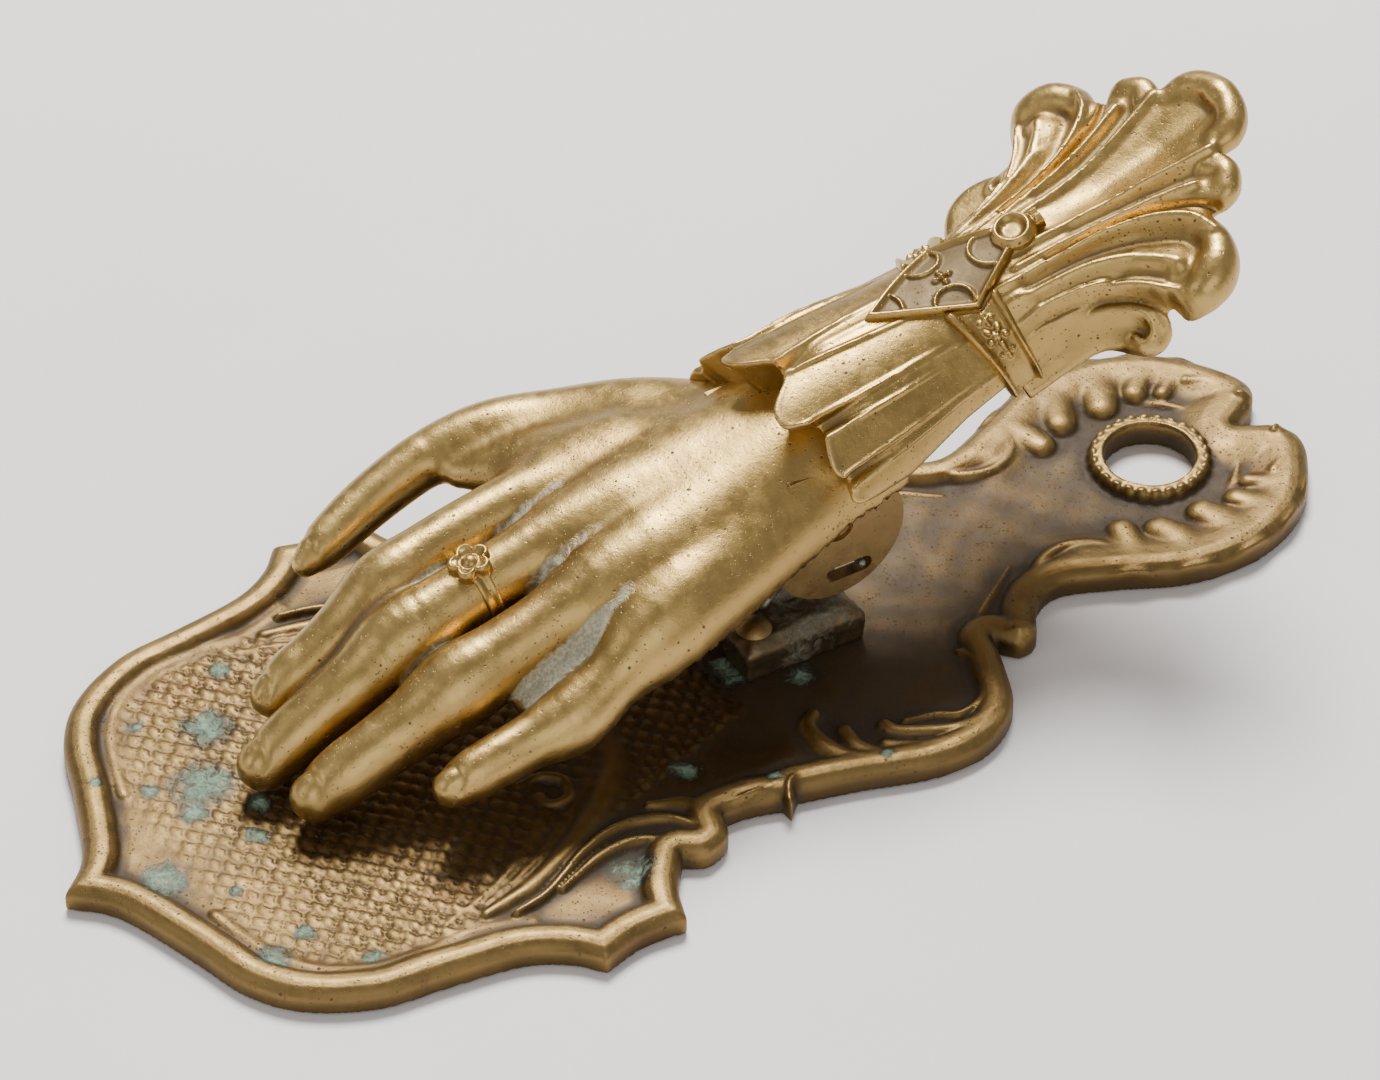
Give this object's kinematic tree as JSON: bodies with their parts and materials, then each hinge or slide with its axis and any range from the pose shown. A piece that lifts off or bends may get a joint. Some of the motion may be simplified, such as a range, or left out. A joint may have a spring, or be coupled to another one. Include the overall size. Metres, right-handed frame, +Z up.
{
  "type": "hand letter clip",
  "caption": "Brass letter clip: a lady's hand with a pleated cuff and thumb shell, sprung on a pivot above an ornate wall plate.",
  "frame": {"origin": "middle of the plate's flat back", "axes": "+X towards the little finger's side, +Y from the plate's pointed end towards the hanging hole, +Z up off the plate"},
  "size_m": [0.0696, 0.1434, 0.0512],
  "materials": {
    "plate_brass": "aged cast brass, dark in the recesses, worn bright on the rim",
    "hand_brass": "aged cast brass, rubbed smooth",
    "pin_brass": "dull brass",
    "spring_steel": "dull"
  },
  "bodies": {
    "plate": {"back_plate": "plate_brass", "bracket_rivets": "pin_brass", "pivot_bracket": "plate_brass", "torsion_spring": "spring_steel"},
    "hand_lever": {"hinge_pin": "pin_brass", "hinge_ears": "hand_brass", "hand": "hand_brass", "finger_ring": "hand_brass", "cuff": "hand_brass", "wrist_strap": "hand_brass", "lace_panel": "hand_brass", "thumb_shell": "hand_brass"}
  },
  "joints": [
    {"name": "lever_pivot", "type": "hinge", "parent": "plate", "child": "hand_lever", "pos_m": [0, 0.0123, 0.0186], "axis": [-1, 0, 0], "range_deg": [0, 24], "stiffness_Nm_per_rad": 0.3, "springref_deg": -34.38, "deforming": ["torsion_spring"]}
  ]
}
